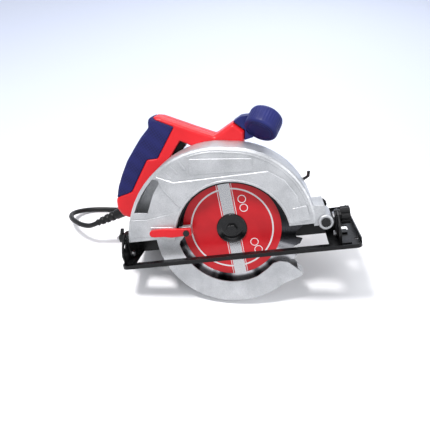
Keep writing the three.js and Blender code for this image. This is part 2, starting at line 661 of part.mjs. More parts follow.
// A bevel bracket stands across the saw: an ear round the bevel pin and a curved slot for the lock bolt.
function makeBevelBracket(from, to, footFrom, footTo) {
  const { y, z, pin, lockRadius, lockAngle, maxAngle } = BEVEL;
  const foot = BASE.top + GAP;
  const half = 25;
  const footWidth = 13;
  const outline = [[y - half, foot], [y + half, foot], ...arc(y, z, lockRadius + 8, 15, 165, 12)];
  const slot = curvedSlot(y, z, lockRadius, pin + 0.5, lockAngle - 1, lockAngle + maxAngle + 1, 8);
  const window = roundedRectangle(y + 9, z + 4, y + 19, z + 16, 4);
  const upright = cut(slab('x', outline, from, to), slab('x', slot, from - 1, to + 1),
    slab('x', circle(y, z, pin + GAP), from - 1, to + 1), slab('x', window, from - 1, to + 1));
  const feet = [y - half, y + half - footWidth].map((edge) => box(footFrom, edge, foot, footTo, edge + footWidth, foot + 2));
  return join(upright, ...feet);
}

// The carrier's ear lies against the bracket and holds the bevel pin and the lock bolt.
function carrierEar(from, to) {
  const { y, z, pin } = BEVEL;
  const [lockY, lockZ] = BEVEL_LOCK;
  const half = 8;
  const outline = [[y - half, z], [y - half + 3.6, z - 4], [y + 45, z - 4], [y + 45, CARRIER.top], [y + half, CARRIER.top],
    ...arc(lockY, lockZ, half, 0, 180, 8)];
  return cut(slab('x', outline, from, to),
    slab('x', circle(y, z, pin + GAP), from - 1, to + 1),
    slab('x', circle(lockY, lockZ, pin + GAP), from - 1, to + 1));
}

const BEVEL_LOCK = arc(BEVEL.y, BEVEL.z, BEVEL.lockRadius, BEVEL.lockAngle, BEVEL.lockAngle, 1)[0];

function makeCarrier() {
  const { near, web, width, top, bottom, flange, rear, front, yoke } = CARRIER;
  const earThickness = 2;
  const rail = box(rear, near, bottom, front, near + width, bottom + flange);
  const yokeRail = box(104, near, bottom, front, yoke, bottom + flange);
  const rearWeb = box(rear, near, bottom, -48, near + web, top);
  const frontWebOutline = [
    [48, bottom], [front, bottom], ...arc(BOSS.x, BOSS.z, BOSS.radius, -30, 215, 9), [105, top], [48, top],
  ];
  const frontWeb = slab('y', frontWebOutline, near, near + web);
  const farEarOutline = [[106, bottom], [front, bottom], ...arc(BOSS.x, BOSS.z, BOSS.radius, -30, 215, 9)];
  const farEar = slab('y', farEarOutline, yoke - web, yoke);
  const ears = [carrierEar(rear, rear + earThickness), carrierEar(front - earThickness, front)];
  const body = join(rail, yokeRail, rearWeb, frontWeb, farEar, ...ears);
  return cut(body, rod(BOSS.hole, near - 1, yoke + 1, BOSS.x, BOSS.z, 20));
}

function makeDepthQuadrant() {
  const { lockRadius, width, slot, topAngle } = DEPTH;
  const [near, far] = [29, 31];
  const band = curvedSlot(BOSS.x, BOSS.z, lockRadius, width / 2, 180 - topAngle, 186, 14);
  const groove = curvedSlot(BOSS.x, BOSS.z, lockRadius, slot / 2, 180 - topAngle - 1, 181, 14);
  const foot = box(-94, near, CARRIER.bottom + CARRIER.flange + GAP, -56, far, -14);
  const below = box(-200, near - 1, -60, 0, far + 1, CARRIER.bottom + CARRIER.flange + GAP);
  return cut(join(slab('y', band, near, far), foot), slab('y', groove, near - 1, far + 1), below);
}

// A bolt along x through the bevel slot, with its head inside and its thread outside.
function makeBevelBolt(inside, headEnd, outside) {
  const [y, z] = BEVEL_LOCK;
  const [low, high] = [Math.min(headEnd, outside), Math.max(headEnd, outside)];
  const [headLow, headHigh] = [Math.min(inside, headEnd), Math.max(inside, headEnd)];
  return join(slab('x', circle(y, z, BEVEL.pin, 16), low - 0.1, high + 0.1),
    slab('x', circle(y, z, 5.5, 6), headLow, headHigh));
}

function makeBevelKnob() {
  const [y, z] = BEVEL_LOCK;
  const from = CARRIER.front + 2.8;
  const lobes = Array.from({ length: 6 }, (_, i) => {
    const angle = (i * Math.PI) / 3;
    return slab('x', circle(y + 7 * Math.cos(angle), z + 7 * Math.sin(angle), 4.6, 10), from + 3, from + 14);
  });
  const body = join(slab('x', circle(y, z, 7.5, 16), from, from + 14), ...lobes);
  return cut(body, slab('x', circle(y, z, BEVEL.pin + GAP, 16), from - 1, from + 11));
}

function wing(side) {
  const outline = [[4 * side, -3], [7 * side, -4], [12.5 * side, 4], [11 * side, 8], [8 * side, 7], [4 * side, 3]];
  return slab('x', outline, -1.4, 1.4);
}

// A wing nut for a thread along y, with its seat at y = 0.
function makeWingNut() {
  const hub = turned([[3.3, 0], [7, 0], [5.6, 8], [3.3, 8]], 0, 0, 16);
  const wings = [1, -1].map((side) => wing(side).rotate([90, 0, 90]).translate([0, 4.5, 0]));
  return cut(join(hub, ...wings), rod(3.3, -1, 9, 0, 0, 20));
}

function makeBaseSet() {
  const { rear, front } = CARRIER;
  const [lockY, lockZ] = BEVEL_LOCK;
  const plateThickness = 2;
  add('base_plate', makeBasePlate(), 'blackSteel');
  add('bevel_bracket_front', makeBevelBracket(front + GAP, front + GAP + 2, front + GAP, front + 14), 'blackSteel');
  add('bevel_bracket_rear', makeBevelBracket(rear - GAP - 2, rear - GAP, rear - GAP - 2, rear + 8), 'blackSteel');
  add('depth_carrier', makeCarrier(), 'blackSteel');
  add('depth_quadrant', makeDepthQuadrant(), 'blackSteel');
  const pinOutline = circle(BEVEL.y, BEVEL.z, BEVEL.pin, 16);
  const headOutline = circle(BEVEL.y, BEVEL.z, 3.9, 16);
  add('bevel_pin_front', join(slab('x', pinOutline, front - 4, front + 3.5),
    slab('x', headOutline, front - 5, front - plateThickness - GAP)), 'steel');
  add('bevel_pin_rear', join(slab('x', pinOutline, rear - 2.6, rear + 4),
    slab('x', headOutline, rear + plateThickness + GAP, rear + 5)), 'steel');
  add('bevel_bolt_front', makeBevelBolt(front - 4.6, front - 2.3, front + 13), 'steel');
  add('bevel_bolt_rear', makeBevelBolt(rear + 3.9, rear + 2.3, rear - 14), 'steel');
  add('bevel_knob', makeBevelKnob(), 'blackPlastic');
  const seat = new THREE.Vector3(rear - 2.8, lockY, lockZ);
  add('bevel_wing_nut', aimed(makeWingNut(), Axis.x.clone().negate(), seat), 'blackSteel');
  add('fence_clamp_screw', makeFenceScrew(), 'blackSteel');
}

function makeFenceScrew() {
  const seat = new THREE.Vector3(FENCE_SCREW.x, FENCE_SCREW.y, BASE.top + GAP + 3);
  const nut = aimed(makeWingNut(), Axis.z, seat);
  const stud = slab('z', circle(FENCE_SCREW.x, FENCE_SCREW.y, 3.6, 16), BASE.top + GAP, BASE.top + 14);
  return join(nut, stud);
}

// ---------------------------------------------------------------- fastenings on the head
function makeDepthPivotBolt() {
  const { near } = UPPER;
  const { x, z } = BOSS;
  const nut = slab('y', circle(x, z, 6.5, 6), CARRIER.yoke + GAP, CARRIER.yoke + 5.5);
  return join(rod(5.6, near - 2.8, near - GAP, x, z, 24), rod(3, near - 1, CARRIER.yoke + 7, x, z, 20), nut);
}

function makeDepthLockBolt() {
  const { x, z } = DEPTH_LOCK;
  return rod(3, 17, 37, x, z, 20);
}

function makeDepthLockLever() {
  const { x, z } = DEPTH_LOCK;
  const hub = rod(7.5, 31.4, 39, x, z, 20);
  const arm = slab('y', [[x, z + 5], [x - 42, z + 1], ...arc(x - 44, z - 3.5, 4.5, 90, 270, 6), [x, z - 6]], 33, 38);
  return cut(join(hub, arm), rod(3.3, 30, 37.4, x, z, 20));
}

function makeHexKey() {
  const points = [[30, 44], [50, 44], [70, 44], [90, 44], [99, 44], [104, 45.2], [106.6, 48.6], [107.4, 54]];
  return tube(points.map(([x, z]) => new THREE.Vector3(x, 41.5, z)), 2.2, 6, 12);
}

function makeFastenings() {
  add('depth_pivot_bolt', makeDepthPivotBolt(), 'blackSteel');
  add('depth_lock_bolt', makeDepthLockBolt(), 'steel');
  add('depth_lock_lever', makeDepthLockLever(), 'blackPlastic');
  add('hex_key', makeHexKey(), 'blackSteel');
}

// ---------------------------------------------------------------- rest pose
// The saw stands on three points: the lower guard's round edge, the base's rear far corner and the round end of
// the motor. Each round edge touches where it is lowest, so the plane is found by repeating.
function restingUp() {
  const up = new THREE.Vector3(0.2, -0.4, 0.9).normalize();
  const lowest = (x, y, z, radius) => {
    const reach = radius / Math.hypot(up.x, up.z);
    return new THREE.Vector3(x - up.x * reach, y, z - up.z * reach);
  };
  for (let i = 0; i < 20; i += 1) {
    const guard = lowest(0, LOWER.far, 0, LOWER.radius);
    const motor = lowest(MOTOR.x, MOTOR.end - MOTOR.endChamfer, MOTOR.z, MOTOR.radius);
    const reach = 8 / Math.hypot(up.x, up.y);
    const corner = new THREE.Vector3(BASE.rear + 8 - up.x * reach, BASE.far - 8 - up.y * reach,
      BASE.top - BASE.thickness);
    up.crossVectors(corner.sub(guard), motor.sub(guard)).normalize();
    if (up.z < 0) up.negate();
  }
  return up;
}

function layDown(group) {
  const up = restingUp();
  const forward = Axis.x.clone().addScaledVector(up, -up.x).normalize();
  const across = new THREE.Vector3().crossVectors(up, forward);
  group.quaternion.setFromRotationMatrix(new THREE.Matrix4().makeBasis(forward, across, up).transpose());
  group.updateMatrixWorld(true);
  const bounds = new THREE.Box3().setFromObject(group, true);
  const centre = bounds.getCenter(new THREE.Vector3());
  group.position.set(-centre.x, -centre.y, -bounds.min.z);
  group.updateMatrixWorld(true);
}

// ---------------------------------------------------------------- cord, in the row's frame, after the saw is laid down
function cordStart() {
  const exit = CORD.exit.clone().applyMatrix4(saw.matrixWorld);
  const way = CORD.way.clone().transformDirection(saw.matrixWorld);
  return { exit, way };
}

function makeStrainRelief({ exit, way }) {
  const { length, root, tip } = RELIEF;
  const ribs = Array.from({ length: 4 }, (_, i) => {
    const y = 10 + i * 9;
    const radius = root + ((tip - root) * y) / length;
    return [[radius, y], [radius, y + 4], [radius - 1.4, y + 4.6], [radius - 1.6, y + 7.4]];
  }).flat();
  return aimed(turned([[0, -5], [root, -5], ...ribs, [tip, length], [0, length]], 0, 0, 14), way, exit);
}

const outerTurn = COIL.turn + (COIL.pitch * (COIL.rows - 1)) / 2;

// From the strain relief down to the floor in one wide bend, and along the floor to the outer turn of the coil.
function cordPoints({ exit, way }) {
  const floor = CORD.radius + GAP;
  const nearSide = COIL.y - outerTurn;
  const start = exit.clone().addScaledVector(way, RELIEF.length + GAP);
  const straight = start.clone().addScaledVector(way, 8);
  const route = [
    [-217, -17, 37.6], [-229, -11.5, 34], [-241, -2, 30.5], [-251, 9, 26.5], [-258, 22, 21.5], [-260, 35, 16],
    [-256, 46, 11], [-247, 55, 7], [-236, 60, 4.8], [-224, nearSide - 0.3, floor], [-208, nearSide, floor],
    [-190, nearSide, floor], [-168, nearSide, floor], [-148, nearSide, floor], [COIL.x - 33, nearSide, floor],
  ];
  return [start, straight, ...route.map((point) => new THREE.Vector3(...point))];
}

function makeCoil() {
  const { x, y, turn, layers, rows, pitch } = COIL;
  const half = (pitch * rows) / 2;
  const ringBody = ring(turn - half, turn + half, GAP, GAP + pitch * layers, 0, 0, 32);
  return aimed(ringBody, Axis.z, new THREE.Vector3(x, y, 0));
}

function makePlug() {
  const { angle, rise, body, neck, start, shoulder, end, pins } = PLUG;
  const shell = turned([
    [0, start], [neck, start], [neck + 1, shoulder - 8], [body - 2, shoulder], [body, shoulder + 4],
    [body, end - 1.5], [body - 1.5, end], [0, end],
  ], 0, 0, 20);
  const pinPair = [-1, 1].map((side) => rod(2, end - 1, pins, side * 6.5, 0, 10));
  const radians = THREE.MathUtils.degToRad(angle);
  const away = new THREE.Vector3(-Math.sin(radians), Math.cos(radians), 0);
  const tangent = new THREE.Vector3(COIL.x + outerTurn * Math.cos(radians), COIL.y + outerTurn * Math.sin(radians),
    rise);
  return aimed(join(shell, ...pinPair), away, tangent);
}

function makeCordSet() {
  const start = cordStart();
  addTo(cords, 'strain_relief', makeStrainRelief(start), 'blackRubber');
  addTo(cords, 'power_cord', tube(cordPoints(start), CORD.radius, 8, 22), 'blackRubber');
  addTo(cords, 'cord_coil', makeCoil(), 'blackRubber');
  addTo(cords, 'plug', makePlug(), 'blackRubber');
}

// ---------------------------------------------------------------- assembly
makeBladeSet();
makeLowerGuardSet();
add('return_spring', makeReturnSpring(), 'steel');
add('upper_guard', makeUpperGuard(), 'aluminium');
makeGearCaseSet();
makeMotorSet();
makeHandleSet();
makeBaseSet();
makeFastenings();
layDown(saw);
makeCordSet();

const object = new THREE.Group();
object.add(saw, cords);

export default object;
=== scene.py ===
"""The looks of a hand-held circular saw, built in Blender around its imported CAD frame.

Shapes on the saw are drawn in the saw's own millimetres, where x runs forward along the cut, y runs across
from the blade towards the motor and z runs up from the base, with the origin at the blade's centre. The
joints of the frame say where that is, so every piece lies down with the saw. The cord is drawn in the row's
metres, where +z is up.
"""
import json
import math

import bmesh
import bpy
from mathutils import Matrix, Vector


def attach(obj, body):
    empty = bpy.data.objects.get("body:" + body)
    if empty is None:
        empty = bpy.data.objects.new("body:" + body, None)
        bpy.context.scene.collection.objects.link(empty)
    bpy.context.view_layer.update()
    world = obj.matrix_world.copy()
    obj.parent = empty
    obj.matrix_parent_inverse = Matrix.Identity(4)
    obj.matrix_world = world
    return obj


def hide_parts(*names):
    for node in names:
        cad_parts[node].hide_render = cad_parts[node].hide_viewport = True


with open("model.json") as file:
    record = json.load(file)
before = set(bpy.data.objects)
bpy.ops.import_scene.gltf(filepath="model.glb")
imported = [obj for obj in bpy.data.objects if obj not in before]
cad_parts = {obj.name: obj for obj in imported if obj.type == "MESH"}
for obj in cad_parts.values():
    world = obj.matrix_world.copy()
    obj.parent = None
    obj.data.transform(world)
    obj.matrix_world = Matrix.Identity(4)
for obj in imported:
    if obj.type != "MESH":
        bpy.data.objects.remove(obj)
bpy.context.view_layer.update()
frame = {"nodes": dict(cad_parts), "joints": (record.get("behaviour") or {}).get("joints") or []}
NODES = frame["nodes"]
JOINTS = {joint["name"]: joint for joint in frame["joints"]}
MILLIMETRE = 0.001

# ---------------------------------------------------------------- the saw's own axes
ORIGIN = Vector(JOINTS["blade_spin"]["pos_m"])
ACROSS = Vector(JOINTS["blade_spin"]["axis"]).normalized()
FORWARD = -Vector(JOINTS["bevel_hinge"]["axis"]).normalized()
UPWARD = FORWARD.cross(ACROSS)
TURN = Matrix((FORWARD, ACROSS, UPWARD)).transposed().to_4x4()
SAW = Matrix.Translation(ORIGIN) @ TURN @ Matrix.Scale(MILLIMETRE, 4)

# ---------------------------------------------------------------- driving sizes, in the saw's millimetres
BLADE_FACE = -0.8
PRINT_RADIUS = 64.5
PRINT_RING = (52.6, 54.6)
BAND_HALF_WIDTH = 7.8
BAND_EDGE = (9.2, 10.0)
BAND_LEAN = 3
GUARD_FACE = -16
GUARD_RADIUS = 109
GUARD_SWELL = 28.7
ARCH_CENTRE = (1, -8)
ARCH_RADIUS = 74
BOSS = (119.6, 0.4)
FLANGE_RADIUS = 20
MOTOR = (-10, 22.9)
MOTOR_RADIUS = 47
KNOB_FACE = Vector((50, 28, 116.5))
KNOB_WAY = Vector((0.45, 0.61, 0.65)).normalized()
KNOB_RADIUS = 22.5
KNOB_HEIGHT = 28
RIM_RIB_ANGLES = (118, 124, 130)
RING_SIGN_SPOTS = [(18, 38), (19, 26), (27, -22), (31, -33)]
HOUSING_BANDS = (76, 84, 92, 100, 150, 158)
CAP_SCREWS = {"circle": 38, "y": 193.7, "angles": (45, 135, 225, 315)}

# ---------------------------------------------------------------- blacks shared by several materials
SOOT = (0.002, 0.002, 0.0022)
CHARCOAL = (0.004, 0.004, 0.0045)
COAL = (0.005, 0.005, 0.0055)

# ---------------------------------------------------------------- camera and stage, in the row's metres
CAMERA_PLACE = (-0.0035, -0.5536, 0.5201)
CAMERA_BACK = Vector((0.0348, -0.7625, 0.6461)).normalized()
CAMERA_RIGHT = Vector((0.9990, 0.0444, -0.0014)).normalized()
CAMERA_LENS = 40.6
FLOOR_HALF = 3
COOL_FLOOR = (0.19, 0.215)
STUDIO_COLOUR = (0.93, 0.95, 1.0, 1)
STUDIO_STRENGTH = 0.78

# ---------------------------------------------------------------- cord, in the row's metres
CORD_DIAMETER = 0.0075
CORD_EXIT = SAW @ Vector((-159, 56, 24))
CORD_WAY = (SAW.to_3x3() @ Vector((-0.94, 0.1, -0.3))).normalized()
RELIEF_LENGTH = 0.0483
FLOOR_LINE = 0.00405
COIL = {"x": -0.105, "y": 0.1189, "outer": 0.05655, "pitch": 0.0077, "bottom_turns": 3, "climb": 0.25}
PLUG_ANGLE = 80
PLUG_RISE = 0.0133
PLUG_START = 0.033


# ---------------------------------------------------------------- camera
def make_camera():
    data = bpy.data.cameras.new("camera")
    data.sensor_width = 36
    data.lens = CAMERA_LENS
    data.clip_start = 0.01
    camera = bpy.data.objects.new("camera", data)
    bpy.context.scene.collection.objects.link(camera)
    axes = (CAMERA_RIGHT, CAMERA_BACK.cross(CAMERA_RIGHT), CAMERA_BACK)
    camera.matrix_world = Matrix.Translation(CAMERA_PLACE) @ Matrix(axes).transposed().to_4x4()
    bpy.context.scene.camera = camera


# ---------------------------------------------------------------- materials
class Finish:
    """A material being made: its node tree, its shader and the object's own coordinates in metres."""

    def __init__(self, name, roughness=0.5, metallic=0.0, specular=0.5):
        self.material = bpy.data.materials.new(name)
        self.material.use_nodes = True
        self.tree = self.material.node_tree
        self.shader = self.tree.nodes["Principled BSDF"]
        self.shader.inputs["Roughness"].default_value = roughness
        self.shader.inputs["Metallic"].default_value = metallic
        self.shader.inputs["Specular IOR Level"].default_value = specular
        self.place = self.node("TexCoord").outputs["Object"]

    def node(self, kind, inputs=(), **settings):
        made = self.tree.nodes.new("ShaderNode" + kind)
        for name, value in settings.items():
            setattr(made, name, value)
        for socket, value in dict(inputs).items():
            self.feed(made.inputs[socket], value)
        return made

    def feed(self, socket, value):
        if isinstance(value, bpy.types.NodeSocket):
            self.tree.links.new(value, socket)
        else:
            socket.default_value = value

    def noise(self, scale, detail=3.0, stretch=None):
        place = self.place
        if stretch:
            place = self.node("Mapping", {"Vector": place, "Scale": stretch}).outputs["Vector"]
        return self.node("TexNoise", {"Vector": place, "Scale": scale, "Detail": detail}).outputs["Fac"]

    def ramp(self, factor, stops):
        made = self.node("ValToRGB", {"Fac": factor})
        elements = made.color_ramp.elements
        while len(elements) < len(stops):
            elements.new(0.5)
        for element, (position, colour) in zip(elements, stops):
            element.position = position
            element.color = (*colour, 1)
        return made.outputs["Color"]

    def spread(self, factor, low, high):
        inputs = {"Value": factor, "From Min": 0.3, "From Max": 0.7, "To Min": low, "To Max": high}
        return self.node("MapRange", inputs).outputs["Result"]

    def math(self, operation, first, second=0.0):
        return self.node("Math", {0: first, 1: second}, operation=operation).outputs[0]

    def blend(self, factor, first, second):
        made = self.node("Mix", data_type="RGBA")
        self.feed(made.inputs[0], factor)
        self.feed(made.inputs[6], first)
        self.feed(made.inputs[7], second)
        return made.outputs[2]

    def within(self, value, low, high):
        above = self.math("GREATER_THAN", value, low)
        return self.math("MULTIPLY", above, self.math("LESS_THAN", value, high))

    def bump(self, height, strength, distance, edge=0.0005):
        below = self.shader.inputs["Normal"].links
        if below:
            normal = below[0].from_socket
        else:
            normal = self.node("Bevel", {"Radius": edge}, samples=4).outputs["Normal"]
        inputs = {"Height": height, "Strength": strength, "Distance": distance, "Normal": normal}
        self.feed(self.shader.inputs["Normal"], self.node("Bump", inputs).outputs["Normal"])

    def colour(self, value):
        self.feed(self.shader.inputs["Base Color"], value)

    def roughness(self, value):
        self.feed(self.shader.inputs["Roughness"], value)


def cast_aluminium():
    finish = Finish("cast_aluminium", metallic=0.75)
    cloud = finish.math("MULTIPLY", finish.math("ADD", finish.noise(38, 4), finish.noise(1300, 2)), 0.5)
    finish.colour(finish.ramp(cloud, [(0.35, (0.38, 0.39, 0.40)), (0.65, (0.62, 0.63, 0.64))]))
    finish.roughness(finish.spread(finish.noise(210, 5), 0.36, 0.52))
    finish.bump(finish.noise(1500, 2), 0.35, 0.0003, 0.0009)
    finish.bump(finish.noise(120, 4), 0.10, 0.001)
    return finish.material


def machined_steel():
    finish = Finish("machined_steel", metallic=1.0)
    lines = finish.noise(90, 3, stretch=(1, 1, 12))
    finish.colour(finish.ramp(lines, [(0.3, (0.36, 0.36, 0.37)), (0.7, (0.48, 0.48, 0.49))]))
    finish.roughness(finish.spread(lines, 0.2, 0.36))
    finish.bump(finish.noise(700, 2, stretch=(1, 1, 8)), 0.08, 0.0002)
    return finish.material


def powder_coat():
    finish = Finish("black_powder_coat", specular=0.3)
    finish.colour(finish.ramp(finish.noise(60, 4), [(0.3, SOOT), (0.7, CHARCOAL)]))
    finish.roughness(finish.spread(finish.noise(300, 3), 0.30, 0.44))
    finish.bump(finish.noise(1900, 2), 0.16, 0.0002, 0.0006)
    return finish.material


def black_gloss():
    finish = Finish("black_oxide", specular=0.5)
    finish.colour(finish.ramp(finish.noise(90, 3), [(0.3, SOOT), (0.7, COAL)]))
    finish.roughness(finish.spread(finish.noise(400, 3), 0.16, 0.27))
    finish.bump(finish.noise(900, 2), 0.05, 0.0002)
    return finish.material


def red_plastic():
    finish = Finish("red_housing_plastic", specular=0.35)
    reds = [(0.3, (0.50, 0.008, 0.013)), (0.7, (0.62, 0.012, 0.018))]
    finish.colour(finish.ramp(finish.noise(24, 3), reds))
    finish.roughness(finish.spread(finish.noise(500, 3), 0.30, 0.42))
    finish.bump(finish.noise(2600, 2), 0.12, 0.00015, 0.0011)
    return finish.material


def navy_rubber():
    finish = Finish("navy_grip_rubber", specular=0.25)
    turned = finish.node("Mapping", {"Vector": finish.place, "Rotation": (0.35, 0.6, 0.2)}).outputs["Vector"]
    inputs = {"Vector": turned, "Scale": 300, "Randomness": 0.0}
    cell = finish.node("TexVoronoi", inputs).outputs["Distance"]
    finish.colour(finish.ramp(cell, [(0.1, (0.004, 0.005, 0.045)), (0.6, (0.010, 0.012, 0.090))]))
    finish.roughness(finish.spread(finish.noise(260, 4), 0.52, 0.68))
    finish.bump(cell, 0.55, 0.0007, 0.0012)
    finish.bump(finish.noise(1700, 2), 0.12, 0.0002)
    return finish.material


def smooth_navy():
    finish = Finish("navy_knob_rubber", specular=0.25)
    navies = [(0.3, (0.009, 0.012, 0.085)), (0.7, (0.015, 0.020, 0.125))]
    finish.colour(finish.ramp(finish.noise(45, 4), navies))
    finish.roughness(finish.spread(finish.noise(260, 4), 0.42, 0.58))
    finish.bump(finish.noise(1700, 2), 0.16, 0.0002, 0.0009)
    return finish.material


def black_plastic():
    finish = Finish("black_moulded_plastic", specular=0.3)
    finish.colour(finish.ramp(finish.noise(50, 3), [(0.3, SOOT), (0.7, COAL)]))
    finish.roughness(finish.spread(finish.noise(350, 3), 0.36, 0.50))
    finish.bump(finish.noise(2200, 2), 0.15, 0.0002, 0.0006)
    return finish.material


def copper():
    finish = Finish("copper_winding", metallic=1.0)
    lines = finish.noise(160, 2, stretch=(6, 1, 1))
    finish.colour(finish.ramp(lines, [(0.3, (0.30, 0.10, 0.03)), (0.7, (0.46, 0.17, 0.07))]))
    finish.roughness(finish.spread(lines, 0.25, 0.42))
    finish.bump(lines, 0.2, 0.0003)
    return finish.material


def cord_rubber():
    finish = Finish("cord_rubber", specular=0.3)
    finish.colour(finish.ramp(finish.noise(70, 3), [(0.3, SOOT), (0.7, CHARCOAL)]))
    finish.roughness(finish.spread(finish.noise(500, 3), 0.38, 0.52))
    finish.bump(finish.noise(1500, 2), 0.10, 0.0002)
    return finish.material


def blade_print():
    """Ground steel with a red print, a pale ring and a bare band, placed by the blade's own axis.

    The bare steel's bright and dark streaks are painted reflections in its colour, and they turn with the
    blade; the steel is also painted darker high up and brighter low down as painted shade.
    """
    finish = Finish("printed_blade")
    offset = finish.node("VectorMath", {0: finish.place, 1: ORIGIN}, operation="SUBTRACT").outputs[0]
    axes = (FORWARD / MILLIMETRE, UPWARD / MILLIMETRE)
    along, up = [finish.node("VectorMath", {0: offset, 1: axis}, operation="DOT_PRODUCT").outputs["Value"]
                 for axis in axes]
    flat = finish.node("CombineXYZ", {0: along, 1: up}).outputs[0]
    radius = finish.node("VectorMath", {0: flat}, operation="LENGTH").outputs["Value"]
    lean = math.tan(math.radians(BAND_LEAN))
    middle = finish.math("ABSOLUTE", finish.math("ADD", along, finish.math("MULTIPLY", up, lean)))
    grind = finish.node("TexNoise", {"W": finish.math("MULTIPLY", radius, 2.4), "Detail": 2.0},
                        noise_dimensions="1D").outputs["Fac"]
    way = finish.node("VectorMath", {0: flat}, operation="NORMALIZE").outputs[0]
    # painted reflection: bright and dark streaks by direction round the blade's centre
    painted_reflection_streaks = finish.node("TexNoise", {"Vector": way, "Scale": 2.1, "Detail": 2.0}).outputs["Fac"]
    # painted shade: the bare steel darker high up and brighter low down
    painted_shade_high_up = finish.math("MULTIPLY", finish.node("SeparateXYZ", {0: way}).outputs["Y"], 0.16)
    steel = finish.ramp(finish.math("SUBTRACT", painted_reflection_streaks, painted_shade_high_up),
                        [(0.46, (0.02, 0.02, 0.022)), (0.56, (0.10, 0.10, 0.11)), (0.63, (0.62, 0.62, 0.64))])
    red = finish.ramp(finish.noise(40, 3), [(0.3, (0.40, 0.003, 0.008)), (0.7, (0.50, 0.006, 0.012))])
    pale = (0.58, 0.58, 0.59, 1)
    printed = finish.math("LESS_THAN", radius, PRINT_RADIUS)
    ring = finish.within(radius, *PRINT_RING)
    band = finish.math("MULTIPLY", printed, finish.math("LESS_THAN", middle, BAND_HALF_WIDTH))
    edge = finish.math("MULTIPLY", printed, finish.within(middle, *BAND_EDGE))
    surface = finish.blend(printed, steel, red)
    for mask in (ring, edge, band):
        surface = finish.blend(mask, surface, pale)
    finish.colour(surface)
    coated = finish.math("SUBTRACT", printed, band)
    metallic = finish.math("SUBTRACT", 1.0, finish.math("MULTIPLY", coated, 0.85))
    finish.feed(finish.shader.inputs["Metallic"], metallic)
    finish.roughness(finish.math("ADD", finish.spread(grind, 0.2, 0.3), finish.math("MULTIPLY", coated, 0.1)))
    finish.bump(grind, 0.07, 0.0003, 0.0003)
    return finish.material


def white_print():
    finish = Finish("white_print", roughness=0.45)
    finish.colour(finish.ramp(finish.noise(300, 3), [(0.3, (0.56, 0.56, 0.57)), (0.7, (0.70, 0.70, 0.71))]))
    return finish.material


def floor_paint():
    """White where the saw stands, with a cooler tone far behind it."""
    finish = Finish("studio_floor", roughness=0.55)
    depth = finish.node("SeparateXYZ", {0: finish.place}).outputs["Y"]
    inputs = {"Value": depth, "From Min": COOL_FLOOR[0], "From Max": COOL_FLOOR[1]}
    behind = finish.node("MapRange", inputs).outputs["Result"]
    finish.colour(finish.blend(behind, (0.86, 0.86, 0.87, 1), (0.62, 0.67, 0.80, 1)))
    return finish.material


MATERIALS = {
    "cast_aluminium": cast_aluminium(),
    "steel": machined_steel(),
    "black_steel": powder_coat(),
    "black_gloss": black_gloss(),
    "blade_paint": blade_print(),
    "red_plastic": red_plastic(),
    "navy_rubber": navy_rubber(),
    "navy_smooth": smooth_navy(),
    "black_plastic": black_plastic(),
    "copper": copper(),
    "cord_rubber": cord_rubber(),
    "white_print": white_print(),
}
CAD_FINISHES = {
    "cast_aluminium": "lower_guard upper_guard gear_case bearing_plate",
    "steel": "spindle output_gear spindle_bearing stator armature_shaft armature_bearing_front "
             "armature_bearing_rear bevel_pin_front bevel_pin_rear bevel_bolt_front bevel_bolt_rear "
             "depth_lock_bolt return_spring",
    "black_steel": "case_screw_1 case_screw_2 case_screw_3 base_plate bevel_bracket_front bevel_bracket_rear "
                   "depth_carrier depth_quadrant bevel_wing_nut fence_clamp_screw",
    "black_gloss": "inner_flange outer_flange blade_bolt lever_screw depth_pivot_bolt hex_key",
    "blade_paint": "saw_blade",
    "red_plastic": "guard_lever motor_housing motor_end_cap handle_shell_near handle_shell_far "
                   "spindle_lock_button",
    "navy_rubber": "grip_cover",
    "navy_smooth": "front_knob knob_neck",
    "black_plastic": "cooling_fan brush_cap_front brush_cap_rear trigger switch_body lock_off_button "
                     "bevel_knob depth_lock_lever carbon_brush_front carbon_brush_rear",
    "copper": "armature_core commutator",
    "cord_rubber": "strain_relief power_cord cord_coil plug",
}


def paint_cad_nodes():
    for finish, names in CAD_FINISHES.items():
        for name in names.split():
            mesh = NODES[name].data
            mesh.materials.clear()
            mesh.materials.append(MATERIALS[finish])
            mesh.shade_smooth()
            mesh.set_sharp_from_angle(angle=math.radians(32))


# ---------------------------------------------------------------- pieces
def place(name, mesh, finish, body, replaced=(), softness=40):
    """Links a mesh in the row's metres as a piece that rides on a body."""
    mesh.shade_smooth()
    mesh.set_sharp_from_angle(angle=math.radians(softness))
    mesh.materials.clear()
    mesh.materials.append(MATERIALS[finish])
    made = bpy.data.objects.new(name, mesh)
    bpy.context.scene.collection.objects.link(made)
    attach(made, body)
    if replaced:
        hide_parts(*replaced)
    return made


def on_saw(name, shape, finish, body, replaced=(), softness=40):
    """Places a bmesh that is drawn in the saw's millimetres."""
    bmesh.ops.recalc_face_normals(shape, faces=shape.faces)
    mesh = bpy.data.meshes.new(name)
    shape.transform(SAW)
    shape.to_mesh(mesh)
    shape.free()
    return place(name, mesh, finish, body, replaced, softness)


def soften_edges(piece, width, segments=3):
    bevel = piece.modifiers.new("bevel", "BEVEL")
    bevel.width = width * MILLIMETRE
    bevel.segments = segments
    bevel.limit_method = "ANGLE"
    bevel.angle_limit = math.radians(30)
    bevel.harden_normals = True
    return piece


def arc(centre, radius, start, end, steps):
    turns = [math.radians(start + (end - start) * i / steps) for i in range(steps + 1)]
    return [(centre[0] + radius * math.cos(turn), centre[1] + radius * math.sin(turn)) for turn in turns]


def prism(outline, near, far):
    """A plate across the saw, from near to far along y, with an outline of (x, z) points."""
    shape = bmesh.new()
    loops = [[shape.verts.new((x, y, z)) for x, z in outline] for y in (near, far)]
    shape.faces.new(loops[0])
    shape.faces.new(reversed(loops[1]))
    for i, corner in enumerate(loops[0]):
        j = (i + 1) % len(outline)
        shape.faces.new((corner, loops[1][i], loops[1][j], loops[0][j]))
    return shape


